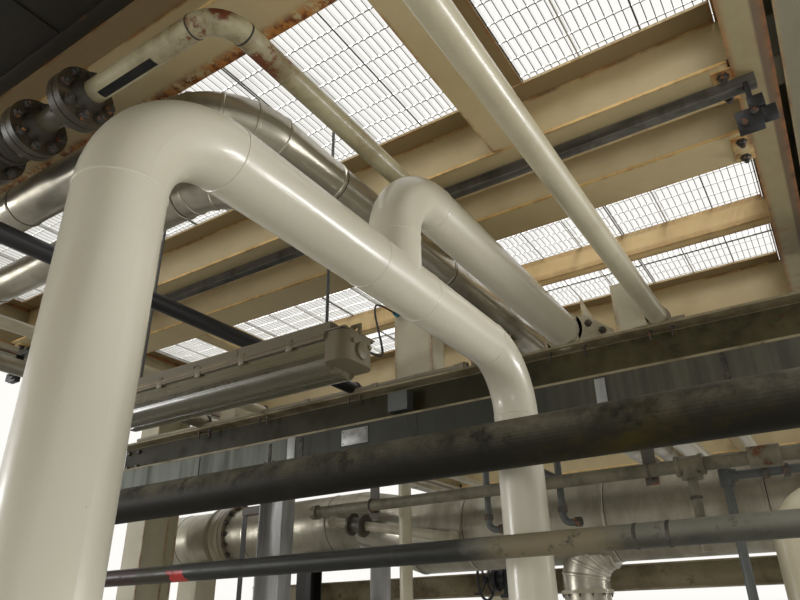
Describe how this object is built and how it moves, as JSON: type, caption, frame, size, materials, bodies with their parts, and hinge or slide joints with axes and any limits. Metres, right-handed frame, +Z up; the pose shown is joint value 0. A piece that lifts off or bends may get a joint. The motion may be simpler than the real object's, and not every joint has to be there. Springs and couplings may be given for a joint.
{
  "type": "industrial pipe bridge",
  "caption": "Steel pipe bridge on portal frames with a grated deck, guard rails and the painted, clad and galvanised pipes it carries.",
  "frame": {"origin": "on the floor under the middle of the bridge", "axes": "+Z up, +Y along the bridge, +X across it"},
  "size_m": [5.4, 19.6, 4.6],
  "materials": {
    "cream_steel": "matt cream paint, rusty along the edges",
    "dark_steel": "dark primer, dirty",
    "galvanised": "weathered hot-dip galvanised",
    "cream_pipe_paint": "semi-gloss cream paint",
    "cladding": "weathered sheet cladding",
    "dark_pipe_paint": "dark, dirty paint",
    "grey_pipe": "grey paint with dirt",
    "lamp_paint": "grimy beige",
    "lamp_lens": "dusty translucent cover",
    "valve_iron": "dark paint, rusty",
    "gasket": "dark gasket",
    "cable": "black cable sheath",
    "gland": "blue cable gland"
  },
  "bodies": {
    "bridge": {"base_plates": "dark_steel", "black_pipe": "dark_pipe_paint", "cable_glands": "gland", "clad_elbows": "cladding", "clad_pipes": "cladding", "columns": "cream_steel", "conduit": "galvanised", "conduit_fittings": "galvanised", "cross_beams": "cream_steel", "dark_pipe": "dark_pipe_paint", "deck_beams": "cream_steel", "deck_channels": "cream_steel", "deck_plates": "cream_steel", "deck_posts": "cream_steel", "drain_fittings": "valve_iron", "drain_pipe": "cream_pipe_paint", "drop_tubes": "galvanised", "edge_beams": "cream_steel", "floor_stands": "galvanised", "galvanised_channels": "galvanised", "gaskets": "gasket", "girder_packers": "cream_steel", "grating_panels": "galvanised", "guard_rails": "cream_steel", "header_fittings": "cream_pipe_paint", "header_hangers": "dark_steel", "header_pipe": "cream_pipe_paint", "large_flanges": "cream_pipe_paint", "large_pipe": "cladding", "low_pipe": "grey_pipe", "luminaire_body": "lamp_paint", "luminaire_cable": "cable", "luminaire_caps": "lamp_paint", "luminaire_lens": "lamp_lens", "luminaire_rods": "galvanised", "main_girders": "cream_steel", "pipe_elbows": "cream_pipe_paint", "pipe_feet": "dark_steel", "pipe_stands": "cream_steel", "rail_posts": "cream_steel", "riser_flanges": "cream_pipe_paint", "riser_pedestals": "dark_steel", "side_ties": "cream_steel", "silver_pipe": "cladding", "small_flanges": "dark_pipe_paint", "small_pipe": "cream_pipe_paint", "small_valve": "dark_pipe_paint", "spool_elbows": "cream_pipe_paint", "spool_pipes": "cream_pipe_paint", "spool_tee": "cream_pipe_paint", "stand_arm": "dark_steel", "stub_beams": "cream_steel", "thin_pipes": "cream_pipe_paint", "upright_pipes": "cream_pipe_paint", "valve_body": "valve_iron", "valve_pipes": "cream_pipe_paint"},
    "handwheel": {"valve_handwheel": "valve_iron"}
  },
  "joints": [
    {"name": "handwheel_turn", "type": "hinge", "parent": "bridge", "child": "handwheel", "pos_m": [-0.0665, 4.18, 1.836], "axis": [-1, 0, 0], "range_deg": [0, 3690]}
  ]
}
